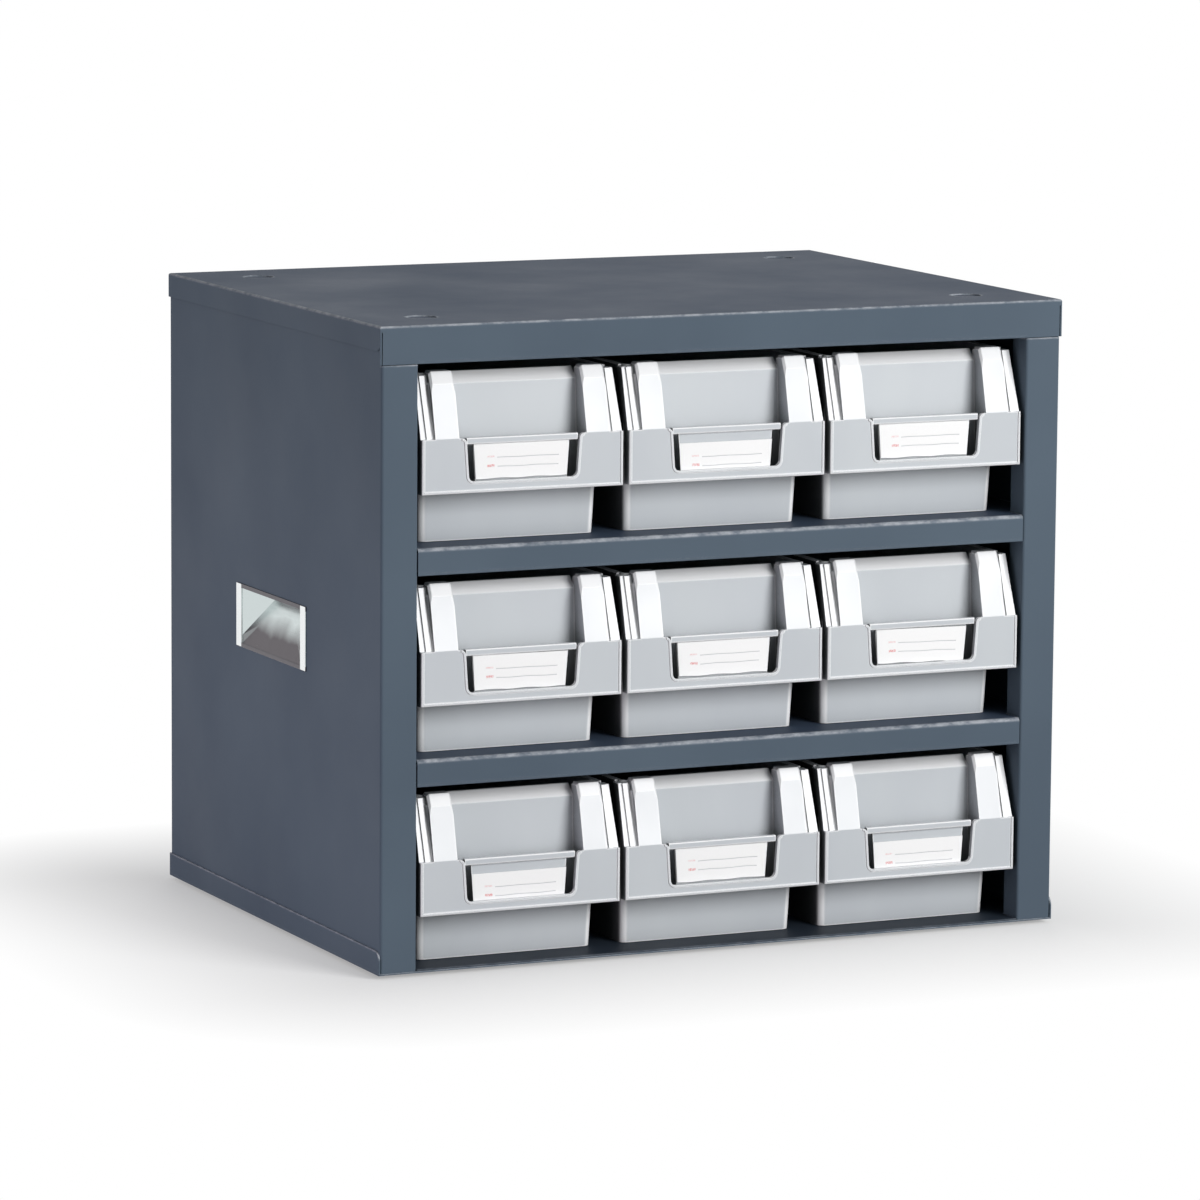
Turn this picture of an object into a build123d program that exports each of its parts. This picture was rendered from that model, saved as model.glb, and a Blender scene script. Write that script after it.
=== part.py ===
from build123d import *
from math import radians, sin
import os

# Small bench cabinet of folded steel sheet with nine pull-out plastic bins.
# Millimetres, +Z up.  The front faces -Y and the origin is under the middle of
# the cabinet, on the surface that its four feet stand on.

# ---------------------------------------------------------------------------
# Driving dimensions
# ---------------------------------------------------------------------------

rows = 3                      # bins up the cabinet
columns = 3                   # bins across the cabinet

# Bin: outside, in its own frame (front of the lip y = 0, base z = 0)
bin_width = 153.4             # across the front lip
bin_height = 121.0            # base to the top of the front pillars
bin_length = 400.0            # front lip to the back of the rim
bin_wall = 2.2
bin_corner = 6.0              # upright corner radius of the tub
rim_drop = 1.9                # top of the pillars down to the rim
rim_inset = 5.5               # side of the lip to the tub's side wall, at the rim
side_draft = 4.0              # how far a side wall leans out from base to rim
rim_setback = 20.0            # lip to the tub's front wall, at the rim
front_draft = 7.5             # how far the front wall leans forward to the rim
rear_draft = 5.0              # how far the back wall leans out to the rim
rim_ledge = 2.5               # width of the ledge round the rim
rim_thickness = 3.0

# Bin: front
lip_bottom = 36.5             # base to the lower edge of the lip
lip_height = 38.5
lip_thickness = 2.6
lip_return = 8.0              # depth of the lip's side returns
lip_edge_radius = 1.2
lip_rim = 2.0                 # raised rim along the lip's sides and lower edge
lip_rim_proud = 0.7
wing_width = 10.2              # side of the lip to the pillar
wing_drop = 3.0               # top of the pillars down to the top of a wing
wing_step = 2.6               # the wing starts this far behind the lip
wing_lean = 14.4
wing_taper = 1.4              # each outer edge leans in this much to its top
wing_root = 19.0              # overlap of the wing behind the lip
pillar_draft = 2.0            # how far a pillar's outer side spreads to the wing
pillar_width = 18.0
pillar_head = 8.3             # height of a pillar's head above its bend
pillar_lean = 9.0             # how far a pillar has leaned back by its bend
pillar_head_lean = 4.0        # how far its head leans back above the bend
pillar_behind_rim = 1.5       # a head reaches this far behind the front wall
pillar_chamfer = 1.5
rib_width = 3.6               # upright rib on each wing
rib_from_edge = 4.2
rib_proud = 1.3
panel_setback = 17.5          # lip to the panel behind the finger pocket, at the lip's top
land_rise = 7.5               # the land above the panel slopes back to the rim
land_depth = 7.5
land_round = 1.2              # rounding between the panel and the land

# Bin: card holder in the lip
window_edge = 5.2             # pillar to the side of the window, at the top
window_taper = 2.1            # each side of the window leans in this much
window_sill = 8.1             # lip's lower edge to the bottom of the window
window_corner = 4.0
window_hook = 3.6             # rounding of the lip's corners beside the window
bead_width = 1.6              # raised bead round the window
bead_proud = 0.7
slot_gap = 6.2                # gap between the tongue and the window's sides
tongue_thickness = 1.8
tongue_rim = 4.6              # height of the rolled rim along the tongue's top
tongue_rim_proud = 2.5
tongue_rim_round = 0.8
tongue_rim_gap = 1.0          # between the rim's ends and the window's sides
card_thickness = 0.5
card_play = 0.3               # clearance on each face of the card
card_margin = 6.6             # window's side to the card on either side
card_slack = 6.8              # height that a card can slide up in its holder

# Cards that have slipped down (row, column) and cards that sit tilted (degrees)
slipped_cards = ((1, 2), (3, 1), (3, 3))
card_tilts = {(2, 1): 0.5, (2, 3): 1.0}

# Spacing of the bins in the cabinet
bin_gap = 4.6                 # between neighbouring lips
side_margin = 3.3             # between the outer lips and the stiles
bin_headroom = 8.3            # above the bins of the lower rows
top_headroom = 7.6            # above the bins of the top row
bin_ride = 0.3                # running gap under a bin
lip_setback = 1.0             # lips behind the cabinet's front face
rear_gap = 1.6                # bins to the back panel

# Cabinet sheet metal
sheet = 1.2
cover_bend = 1.6              # outside radius of the cover's bends
stile_bend = 2.0              # outside radius of the stiles' bends
stile_width = 27.4            # front face of a side panel
stile_return = 20.0           # its inner return
rear_flange = 15.0            # rear flange of a side panel
cover_front = 26.9            # front flange of the top cover
cover_side = 17.5
cover_rear = 14.5
cover_hem = 12.0              # inward return under the front flange
pan_side = 17.0               # upright side flanges of the bottom pan
pan_rear = 14.5
corner_slit = 0.6             # open slit at the cover's front corners
slit_drop = 4.4               # top of the cover to the top of the slit
flange_corner = 7.0           # rounded front end of the side flanges
rail_height = 19.2            # front rail of a shelf
rail_bend = 3.2
rail_hem = 10.0
shelf_flange = 12.0           # downturned side and rear flanges of a shelf
floor_nose = 0.8              # rounding of the floor shelf's front edge
seam_gap = 0.4                # open seam between flange and stile
butt_gap = 0.3                # sheet edges that butt against another sheet

# Feet, and the recesses that take the feet of a cabinet stacked on top
foot_diameter = 20.0
foot_height = 3.0
foot_stem = 6.0
foot_barb = 9.0
foot_barb_height = 1.0
foot_chamfer = 0.75
barb_play = 0.5               # floor shelf's holes round the barbs
stack_play = 1.0
stack_depth = 1.0
stack_inset_x = 52.0
stack_inset_y = 50.0
stem_play = 0.15

# Rivets that hold the back panel
rivet_shank = 3.2
rivet_head = 6.5
rivet_head_height = 1.0
rivet_crown = 0.7             # rounding of a rivet's head
rivet_tail = 5.0
rivet_tail_height = 1.6
rivet_play = 0.1
rivets_per_side = 4
rivet_end_distance = 40.0

# Recessed carrying handles
handle_length = 133.0
handle_height = 46.5
handle_bar = 10.0             # upright bar at each end
handle_rim = 3.0              # narrow rim along top and bottom
handle_rim_thickness = 0.8
handle_proud = 1.1
handle_round = 0.7            # rounding of a bar's edges
handle_depth = 18.0
handle_deep_half = 25.0       # half length of the deepest edge
handle_sill = 6.0             # mouth's lower edge to the foot of the main slope
handle_lead_height = 17.0     # steeper slope below it, up from the lower edge
handle_lead_depth = 5.7
handle_lead_half = 34.0
handle_sheet = 1.0
handle_play = 0.4
handle_from_front = 203.0
handle_centre_height = 221.0

touch = 0.01                  # how close two places count as the same

# ---------------------------------------------------------------------------
# Sizes worked out from them
# ---------------------------------------------------------------------------

opening_width = columns * bin_width + (columns - 1) * bin_gap + 2 * side_margin
cabinet_width = opening_width + 2 * (stile_width + sheet)
cabinet_depth = lip_setback + bin_length + rear_gap + 2 * sheet
row_pitch = bin_height + bin_headroom + rail_height
floor_top = foot_height + 2 * sheet       # the deck lies flat on the pan
top_row_opening = bin_height + top_headroom
cabinet_height = floor_top + (rows - 1) * row_pitch + top_row_opening + cover_front

half_width = cabinet_width / 2
half_opening = opening_width / 2
front = -cabinet_depth / 2
back = cabinet_depth / 2
web_outer = half_width - sheet            # outer face of a side panel
web_inner = web_outer - sheet
back_panel_inner = back - 2 * sheet
back_panel_outer = back - sheet
pan_top = foot_height + sheet
stile_back = front + stile_return
shelf_front = stile_back + butt_gap       # where a shelf widens behind the stiles
flange_inner = back_panel_inner - sheet   # inner face of the rear flanges
flange_edge = web_outer - rear_flange     # free edge of the rear flanges
handle_mouth = handle_length - 2 * handle_bar

half_lip = bin_width / 2
lip_top = lip_bottom + lip_height
tub_height = bin_height - rim_drop        # base to the rim
ledge_bottom = tub_height - rim_thickness
wing_top = bin_height - wing_drop
pillar_bend = bin_height - pillar_head    # height of a pillar's bend
pillar_outer = half_lip - wing_width
pillar_inner = pillar_outer - pillar_width
rim_half_width = half_lip - rim_inset
window_top_half = pillar_inner - window_edge
window_bottom = lip_bottom + window_sill
card_bottom = lip_bottom + bin_wall       # a slipped card stands on the pocket floor
card_height = lip_top - tongue_rim - card_bottom - card_slack
tongue_front = lip_thickness + card_thickness + 2 * card_play
tongue_back = tongue_front + tongue_thickness


# ---------------------------------------------------------------------------
# Small helpers
# ---------------------------------------------------------------------------

def block(x0, x1, y0, y1, z0, z1):
    """A box between two corners."""
    size = Box(x1 - x0, y1 - y0, z1 - z0)
    return Pos((x0 + x1) / 2, (y0 + y1) / 2, (z0 + z1) / 2) * size


def across(points, x0, x1):
    """Extrude an outline given as (y, z) points from x0 to x1."""
    face = make_face(Polyline([(x0, y, z) for y, z in points], close=True))
    return extrude(face, amount=x1 - x0, dir=(1, 0, 0))


def through(points, y0, y1):
    """Extrude an outline given as (x, z) points from y0 to y1."""
    face = make_face(Polyline([(x, y0, z) for x, z in points], close=True))
    return extrude(face, amount=y1 - y0, dir=(0, 1, 0))


def post(x, y, z0, z1, diameter):
    """An upright cylinder from z0 to z1."""
    return Pos(x, y, (z0 + z1) / 2) * Cylinder(diameter / 2, z1 - z0)


def pin(x, z, y0, y1, diameter):
    """A cylinder along Y from y0 to y1."""
    length = y1 - y0
    return Pos(x, (y0 + y1) / 2, z) * Rot(90, 0, 0) * Cylinder(diameter / 2, length)


def polyhedron(outlines):
    """Solid bounded by flat faces, each given as a list of corner points."""
    faces = [make_face(Polyline(list(points), close=True)) for points in outlines]
    return Solid(Shell([face.face() for face in faces]))


def prismoid(low, high):
    """Solid between two four-cornered outlines, one above the other."""
    sides = [
        (low[i], low[(i + 1) % 4], high[(i + 1) % 4], high[i]) for i in range(4)
    ]
    return polyhedron([low, high] + sides)


def on_side(side, x_from, x_to, y0, y1, z0, z1):
    """A box between two distances from the middle, left (-1) or right (1)."""
    x0, x1 = sorted((side * x_from, side * x_to))
    return block(x0, x1, y0, y1, z0, z1)


def save(shape, name):
    """Write one piece under its name."""
    export_step(shape, f"parts/{name}.step")


def stack_points():
    """Where the feet stand, and where the recesses of the cover lie."""
    x = half_width - stack_inset_x
    y = cabinet_depth / 2 - stack_inset_y
    return {
        "front_left": (-x, -y),
        "front_right": (x, -y),
        "rear_left": (-x, y),
        "rear_right": (x, y),
    }


def rivet_points():
    """Centres (x, z) of the rivets down both rear edges."""
    x = web_outer - rear_flange / 2
    low = pan_top + rivet_end_distance
    high = cabinet_height - rivet_end_distance
    step = (high - low) / (rivets_per_side - 1)
    return [(s * x, low + i * step) for s in (-1, 1) for i in range(rivets_per_side)]


# ---------------------------------------------------------------------------
# Cabinet
# ---------------------------------------------------------------------------

def folded_tray(height_side, height_rear, z_plate, up):
    """Plate with side and rear flanges, folded up or down.

    z_plate is the outer face of the plate.  The plate reaches the front face.
    """
    turn = 1 if up else -1
    low, high = sorted((z_plate, z_plate + turn * sheet))
    tray = block(-half_width, half_width, front, back, low, high)
    low, high = sorted((z_plate, z_plate + turn * height_side))
    for side in (-1, 1):
        tray += on_side(side, web_outer, half_width, front, back, low, high)
    low, high = sorted((z_plate, z_plate + turn * height_rear))
    tray += block(-half_width, half_width, back_panel_outer, back, low, high)
    return tray


def round_flange_ends(tray, edge_height):
    """Round the front lower (or upper) corner of both side flanges."""
    ends = (
        tray.edges()
        .filter_by(Axis.X)
        .filter_by(lambda e: abs(e.center().Z - edge_height) < touch)
        .filter_by(lambda e: abs(e.center().Y - front) < touch)
    )
    return fillet(ends, flange_corner)


def top_cover():
    """Cap with flanges on all four sides and four stacking recesses."""
    top = cabinet_height
    cap = folded_tray(cover_side, cover_rear, top, up=False)
    cap = round_flange_ends(cap, top - cover_side)
    low = top - cover_front
    cap += block(-half_width, half_width, front, front + sheet, low, top)
    cap += block(-half_opening, half_opening, front, front + cover_hem, low, low + sheet)
    for side in (-1, 1):
        cap -= on_side(
            side, web_outer - corner_slit, web_outer, front - 1, front + sheet, low - 1, top - slit_drop
        )
    bends = (
        cap.edges()
        .filter_by(lambda e: abs(e.center().Z - top) < touch)
        .filter_by(lambda e: e.length > cabinet_depth - 1)
    )
    cap = fillet(bends, cover_bend)
    recess = foot_diameter + 2 * stack_play
    for x, y in stack_points().values():
        cap += post(x, y, top - stack_depth - sheet, top - sheet, recess + 2 * sheet)
        cap -= post(x, y, top - stack_depth, top + 1, recess)
    return cap.solid()


def bottom_pan():
    """Tray under the cabinet, with a hole for the stem of each foot."""
    pan = folded_tray(pan_side, pan_rear, foot_height, up=True)
    pan = round_flange_ends(pan, foot_height + pan_side)
    for x, y in stack_points().values():
        pan -= post(x, y, 0, floor_top, foot_stem + 2 * stem_play)
    return pan.solid()


def foot(x, y):
    """Rubber foot pushed through the pan, held by a barb above it."""
    pad = post(x, y, 0, foot_height, foot_diameter)
    pad = chamfer(pad.edges().group_by(Axis.Z)[0], foot_chamfer)
    stem = post(x, y, foot_height, pan_top + foot_barb_height, foot_stem)
    barb = post(x, y, pan_top, pan_top + foot_barb_height, foot_barb)
    return (pad + stem + barb).solid()


def side_panel(side):
    """Web with front stile, inner return and rear flange, left (-1) or right (1)."""
    low = pan_top
    high = cabinet_height - sheet
    stile_top = cabinet_height - cover_front - seam_gap
    return_inner = half_opening + sheet
    panel = on_side(side, web_inner, web_outer, front, back_panel_inner, low, stile_top)
    neck = front + stile_bend + butt_gap      # the web starts here behind the cover's flange
    panel += on_side(side, web_inner, web_outer, neck, back_panel_inner, low, high)
    panel += on_side(side, half_opening, web_outer, front, front + sheet, low, stile_top)
    panel += on_side(side, half_opening, return_inner, front, stile_back, low, stile_top)
    panel += on_side(
        side, flange_edge, web_outer, flange_inner, back_panel_inner, low + pan_side, high - cover_rear
    )
    bends = (
        panel.edges()
        .filter_by(Axis.Z)
        .filter_by(lambda e: abs(e.center().Y - front) < touch)
    )
    panel = fillet(bends, stile_bend)
    panel -= handle_place(side) * handle_hole()
    for x, z in rivet_points():
        panel -= pin(x, z, flange_inner - 1, back, rivet_shank + 2 * rivet_play)
    return panel.solid()


def back_panel():
    """Flat sheet behind the side panels' rear flanges."""
    low = pan_top
    high = cabinet_height - sheet
    panel = block(-web_outer, web_outer, back_panel_inner, back_panel_outer, low, high)
    for x, z in rivet_points():
        panel -= pin(x, z, back_panel_inner - 1, back, rivet_shank + 2 * rivet_play)
    return panel.solid()


def back_rivets():
    """Blind rivets through the back panel and the rear flanges."""
    tail_end = flange_inner - rivet_tail_height
    rivets = []
    for x, z in rivet_points():
        head = pin(x, z, back_panel_outer, back_panel_outer + rivet_head_height, rivet_head)
        head = fillet(head.edges().sort_by(Axis.Y)[-1], rivet_crown)
        shank = pin(x, z, tail_end, back_panel_outer, rivet_shank)
        tail = pin(x, z, tail_end, flange_inner, rivet_tail)
        rivets.append((head + shank + tail).solid())
    return Compound(children=rivets)


def deck(top):
    """Flat sheet between the side panels that narrows between the stiles."""
    low = top - sheet
    narrow = half_opening - butt_gap
    plate = block(-web_inner, web_inner, shelf_front, back_panel_inner, low, top)
    return plate + block(-narrow, narrow, front, shelf_front, low, top)


def rounded_nose(plate, top, radius):
    """Round the upper front edge of a shelf."""
    nose = (
        plate.edges()
        .filter_by(Axis.X)
        .filter_by(lambda e: abs(e.center().Z - top) < touch)
        .filter_by(lambda e: abs(e.center().Y - front) < touch)
    )
    return fillet(nose, radius)


def shelf(index):
    """Shelf number 1 (lower) or 2 (upper), notched round the rear flanges."""
    top = floor_top + index * row_pitch
    narrow = half_opening - butt_gap
    hem = top - rail_height
    body = deck(top) + block(-narrow, narrow, front, front + sheet, hem, top)
    body += block(
        -narrow, narrow, front + sheet, front + rail_bend, top - rail_bend, top - sheet
    )
    body = rounded_nose(body, top, rail_bend)
    body += block(-narrow, narrow, front, front + rail_hem, hem, hem + sheet)
    for side in (-1, 1):
        body += on_side(
            side, web_inner - sheet, web_inner, shelf_front, back_panel_inner, top - shelf_flange, top
        )
    notch_front = flange_inner - rivet_tail_height - butt_gap
    notch_edge = flange_edge - butt_gap
    body += block(-notch_edge, notch_edge, flange_inner, back_panel_inner, top - shelf_flange, top)
    for side in (-1, 1):
        body -= on_side(side, notch_edge, half_width, notch_front, back, hem, top + 1)
    return body.solid()


def floor_shelf():
    """Lowest shelf, flat on the pan, with a hole round the barb of each foot."""
    plate = rounded_nose(deck(floor_top), floor_top, floor_nose)
    for x, y in stack_points().values():
        plate -= post(x, y, foot_height, floor_top + 1, foot_barb + 2 * barb_play)
    return plate.solid()


# ---------------------------------------------------------------------------
# Recessed carrying handles
# ---------------------------------------------------------------------------

def handle_wedge(grow, low, high, depth, deep_half):
    """Wedge with its mouth in the plane x = 0 that deepens towards +X, upwards.

    A positive grow makes it larger all round, by the thickness of the sheet.
    """
    half = handle_mouth / 2 + grow
    low -= grow
    high += grow
    depth += grow
    deep_half += grow
    a = (0, -half, low)
    b = (0, half, low)
    c = (0, half, high)
    d = (0, -half, high)
    e = (depth, -deep_half, high)
    f = (depth, deep_half, high)
    return polyhedron([(a, b, c, d), (a, b, f, e), (a, e, d), (b, c, f), (d, e, f, c)])


def handle_scoop(grow):
    """Hollow behind the mouth: a main slope, and a steeper one that leads into it."""
    high = handle_height / 2 - handle_rim
    lead_high = handle_lead_height - high
    main = handle_wedge(grow, handle_sill - high, high, handle_depth, handle_deep_half)
    return main + handle_wedge(grow, -high, lead_high, handle_lead_depth, handle_lead_half)


def handle():
    """Pressed handle with its mouth in the plane x = 0."""
    half = handle_length / 2
    edge = handle_height / 2
    mouth_edge = edge - handle_rim
    plate = block(-handle_rim_thickness, 0, -half, half, -edge, edge)
    for side in (-1, 1):
        y0, y1 = sorted((side * half, side * (half - handle_bar)))
        bar = block(-handle_proud, 0, y0, y1, -edge, edge)
        plate += fillet(bar.edges().group_by(Axis.X)[0], handle_round)
    plate += handle_scoop(handle_sheet)
    mouth = block(-2 * handle_proud, 0, -handle_mouth / 2, handle_mouth / 2, -mouth_edge, mouth_edge)
    return (plate - handle_scoop(0) - mouth).solid()


def handle_hole():
    """Cut-out that the cup of a handle passes through."""
    play = handle_sheet + handle_play
    length = handle_mouth + 2 * play
    height = handle_height - 2 * handle_rim + 2 * play
    return Box(4 * sheet, length, height)


def handle_place(side):
    """Place of a handle's mouth on the left (-1) or right (1) side panel."""
    return Pos(side * web_outer, front + handle_from_front, handle_centre_height)


def placed_handle(side):
    """Handle on one side; the right one is turned to face the other way."""
    cup = handle()
    if side > 0:
        cup = mirror(cup, about=Plane.YZ)
    return (handle_place(side) * cup).solid()


# ---------------------------------------------------------------------------
# Bin
# ---------------------------------------------------------------------------

def front_wall(z):
    """Y of the tub's front face at height z."""
    return rim_setback + front_draft * (1 - z / tub_height)


def tub_corners(z, grow):
    """Corners of the tub's outline at height z, moved outwards by grow."""
    below_rim = 1 - z / tub_height
    half = rim_half_width - side_draft * below_rim + grow
    y0 = front_wall(z) - grow
    y1 = bin_length - rim_ledge - rear_draft * below_rim + grow
    return [(-half, y0, z), (half, y0, z), (half, y1, z), (-half, y1, z)]


def tub_block(z0, z1, grow):
    """Drafted block between two heights, with rounded upright corners."""
    solid = prismoid(tub_corners(z0, grow), tub_corners(z1, grow))
    upright = solid.edges().filter_by(lambda e: e.bounding_box().size.Z > z1 - z0 - touch)
    return fillet(upright, bin_corner + grow)


def tub():
    """Open box with drafted walls and a ledge round its rim, except in front."""
    ledge = tub_block(ledge_bottom, tub_height, rim_ledge)
    ledge -= block(-half_lip, half_lip, 0, rim_setback + bin_corner, 0, bin_height)
    inside = tub_block(bin_wall, tub_height, -bin_wall)
    return tub_block(0, tub_height, 0) + ledge - inside


def window_half(z):
    """Half width of the card window at height z; its sides lean in downwards."""
    return window_top_half - window_taper * (lip_top - z) / (lip_top - window_bottom)


def window_outline(margin, low, high):
    """Outline with sides parallel to the window's, made narrower by margin."""
    bottom = window_half(low) - margin
    top = window_half(high) - margin
    return [(-bottom, low), (bottom, low), (top, high), (-top, high)]


def window_plug(grow, y0, y1):
    """Solid that fills the window with its rounded corners, grown all round."""
    low = window_bottom - grow
    plug = through(window_outline(-grow, low, lip_top), y0, y1)
    corners = plug.edges().filter_by(Axis.Y).filter_by(lambda e: e.center().Z < low + touch)
    plug = fillet(corners, window_corner + grow)
    bend = lip_top - window_hook
    for side in (-1, 1):
        x = side * (window_half(bend) + window_hook)
        hook = on_side(side, window_half(bend), abs(x), y0, y1, bend, lip_top)
        plug += hook - pin(x, bend, y0 - 1, y1 + 1, 2 * (window_hook - grow))
    return plug


def lip():
    """Front plate with side returns, a raised rim and a beaded card window."""
    plate = block(-half_lip, half_lip, 0, lip_thickness, lip_bottom, lip_top)
    rim = block(-half_lip, half_lip, -lip_rim_proud, lip_thickness, lip_bottom, lip_top)
    inner = half_lip - lip_rim
    plate += rim - block(-inner, inner, -lip_thickness, lip_thickness, lip_bottom + lip_rim, lip_top)
    for side in (-1, 1):
        plate += on_side(side, half_lip - bin_wall, half_lip, 0, lip_return, lip_bottom, lip_top)
    outer_edges = (
        plate.edges()
        .filter_by(lambda e: abs(e.center().Y + lip_rim_proud) < touch)
        .filter_by(lambda e: e.center().Z < lip_top - touch)
        .filter_by(lambda e: abs(e.center().X) > inner + touch or e.center().Z < lip_bottom + touch)
    )
    plate = fillet(outer_edges, lip_edge_radius)
    plate += window_plug(bead_width, -bead_proud, lip_thickness)
    return plate - window_plug(0, -1, lip_thickness + 1)


def tongue():
    """Tongue behind the window that backs the card, with a rolled rim on top."""
    plate = through(window_outline(slot_gap, lip_bottom, lip_top), tongue_front, tongue_back)
    half = window_top_half - tongue_rim_gap
    rim_front = tongue_front - tongue_rim_proud
    rim = block(-half, half, rim_front, tongue_back, lip_top - tongue_rim, lip_top)
    return plate + fillet(rim.edges().filter_by(Axis.X), tongue_rim_round)


def pocket_floor():
    """Web from the lip to the tub that closes the finger pocket below."""
    half = pillar_inner + bin_wall / 2
    reach = front_wall(lip_bottom) + bin_wall / 2
    return block(-half, half, lip_thickness / 2, reach, lip_bottom, lip_bottom + bin_wall)


def pillar(side):
    """Hollow pillar beside the finger pocket, open below."""
    head_front = pillar_lean + pillar_head_lean
    head_back = rim_setback + pillar_behind_rim
    root = lip_thickness / 2
    outline = [
        (root, lip_bottom),
        (root, lip_top - bin_wall),
        (0, lip_top - bin_wall),
        (0, lip_top),
        (pillar_lean, pillar_bend),
        (head_front, bin_height),
        (head_back, bin_height),
        (head_back, ledge_bottom),
        (front_wall(lip_bottom) + bin_wall / 2, lip_bottom),
    ]
    hollow = [
        (lip_thickness, lip_bottom - 1),
        (lip_thickness, lip_top - bin_wall),
        (pillar_lean + bin_wall, pillar_bend - bin_wall / 2),
        (head_front + bin_wall, bin_height - bin_wall),
        (head_back - bin_wall, bin_height - bin_wall),
        (head_back - bin_wall, ledge_bottom),
        (front_wall(lip_bottom), lip_bottom - 1),
    ]
    body = across(outline, pillar_inner, pillar_outer)
    middle = (pillar_inner + pillar_outer) / 2
    head_edges = (
        body.edges()
        .filter_by(lambda e: e.center().Z > pillar_bend)
        .filter_by(lambda e: abs(e.center().X - middle) > pillar_width / 2 - touch)
    )
    body = chamfer(head_edges, pillar_chamfer)
    body -= across(hollow, pillar_inner + bin_wall, pillar_outer - bin_wall)
    return body if side > 0 else mirror(body, about=Plane.YZ)


def outside_wing():
    """What is cut off a wing so that its outer edge leans in above the lip."""
    lean = [(half_lip, lip_top), (half_lip - wing_taper, wing_top), (half_lip + 1, wing_top + 1)]
    return through(lean + [(half_lip + 1, lip_top)], 0, rim_setback + lip_return)


def pillar_flank():
    """Drafted flank that runs from a pillar's outer side out to the wing."""
    inner = pillar_outer - bin_wall / 2
    outer = pillar_outer + pillar_draft
    start = bin_wall / 4
    behind = wing_step + bin_wall / 2
    wing_shift = wing_lean * (pillar_bend - lip_top) / (wing_top - lip_top)
    low = [(inner, start, lip_top), (outer, behind, lip_top), (inner, behind, lip_top)]
    shifts = (pillar_lean, wing_shift, wing_shift)
    high = [(x, y + shift, pillar_bend) for (x, y, z), shift in zip(low, shifts)]
    sides = []
    for i in range(3):
        j = (i + 1) % 3
        sides += [(low[i], low[j], high[j]), (low[i], high[j], high[i])]
    return polyhedron([low, high] + sides)


def wing(side):
    """Stepped shoulder outside a pillar, with its upright rib."""
    top_y = wing_step + wing_lean
    slab = [
        (wing_step, lip_top - wing_root),
        (wing_step, lip_top),
        (top_y, wing_top),
        (top_y + lip_return, wing_top),
        (lip_return, lip_top),
        (lip_return, lip_top - wing_root),
    ]
    rib = [
        (wing_step, lip_top),
        (wing_step - rib_proud, lip_top),
        (top_y - rib_proud, wing_top),
        (top_y, wing_top),
    ]
    web = [
        (lip_return - bin_wall, lip_top),
        (top_y, wing_top),
        (front_wall(wing_top) + bin_wall, wing_top),
        (front_wall(lip_top) + bin_wall / 2, lip_top),
    ]
    web_side = pillar_outer - bin_wall
    rib_side = half_lip - rib_from_edge
    body = across(slab, web_side, half_lip)
    body -= outside_wing()
    body += across(rib, rib_side - rib_width, rib_side)
    body += pillar_flank()
    body += across(web, web_side, pillar_outer)
    return body if side > 0 else mirror(body, about=Plane.YZ)


def panel_front(z):
    """Y of the panel's front face at height z; it leans back to the rim."""
    lean = (rim_setback - panel_setback) / (tub_height - lip_top)
    return rim_setback - lean * (tub_height - z)


def pocket_panel():
    """Part of the front wall that stands forward between the pillars."""
    low = lip_bottom
    high = tub_height - land_rise
    plate = [
        (panel_front(low), low),
        (panel_front(high), high),
        (front_wall(high) + bin_wall / 2, high),
        (front_wall(low) + bin_wall / 2, low),
    ]
    half = pillar_inner + bin_wall / 2
    return across(plate, -half, half)


def panel_recess():
    """Hollow behind the pocket's panel, open to the inside of the tub."""
    low = lip_bottom + bin_wall
    high = tub_height - land_rise - bin_wall
    hollow = [
        (panel_front(low) + bin_wall, low),
        (panel_front(high) + bin_wall, high),
        (front_wall(high) + 2 * bin_wall, high),
        (front_wall(low) + 2 * bin_wall, low),
    ]
    return across(hollow, -pillar_inner, pillar_inner)


def land_slope(low):
    """Y and Z of the land's front and back edge."""
    return (panel_front(low), low), (panel_front(low) + land_depth, tub_height)


def land():
    """Slope above the panel that runs back to the rim."""
    low = tub_height - land_rise
    (y0, z0), (y1, z1) = land_slope(low)
    plate = across(
        [(y0, z0 - bin_wall), (y0, z0), (y1, z1), (y1 + bin_wall, z1), (y0 + bin_wall, z0 - bin_wall)],
        -pillar_inner,
        pillar_inner,
    )
    bend = plate.edges().filter_by(Axis.X).filter_by(lambda e: abs(e.center().Z - z0) < touch)
    return fillet(bend, land_round)


def above_land():
    """What is cut away above the land."""
    low = tub_height - land_rise
    (y0, z0), (y1, z1) = land_slope(low)
    return across([(0, z0), (y0, z0), (y1, z1), (y1, z1 + 1), (0, z1 + 1)], -pillar_inner, pillar_inner)


def bin_body():
    """The whole moulded bin in its own frame."""
    body = tub() + pocket_panel() - above_land() - panel_recess() + land()
    body += pocket_floor() + lip() + tongue()
    for side in (-1, 1):
        body += pillar(side) + wing(side)
    return body


def label_card(row, column):
    """Card between the lip and the tongue, pushed up unless it has slipped."""
    tilt = card_tilts.get((row, column), 0)
    low = card_bottom + card_slack
    high = low + card_height
    swing = window_half(high) * sin(radians(tilt))
    drop = card_slack if (row, column) in slipped_cards else swing
    back_face = tongue_front - card_play
    card = through(window_outline(card_margin, low, high), back_face - card_thickness, back_face)
    middle = Pos(0, 0, (low + high) / 2)
    return Pos(0, 0, -drop) * middle * Rot(0, tilt, 0) * middle.inverse() * card


def bin_place(row, column):
    """Place of a bin's own frame; row 1 is the top row, column 1 the left one."""
    x = (column - (columns + 1) / 2) * (bin_width + bin_gap)
    z = floor_top + (rows - row) * row_pitch + bin_ride
    return Pos(x, front + lip_setback, z)


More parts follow.
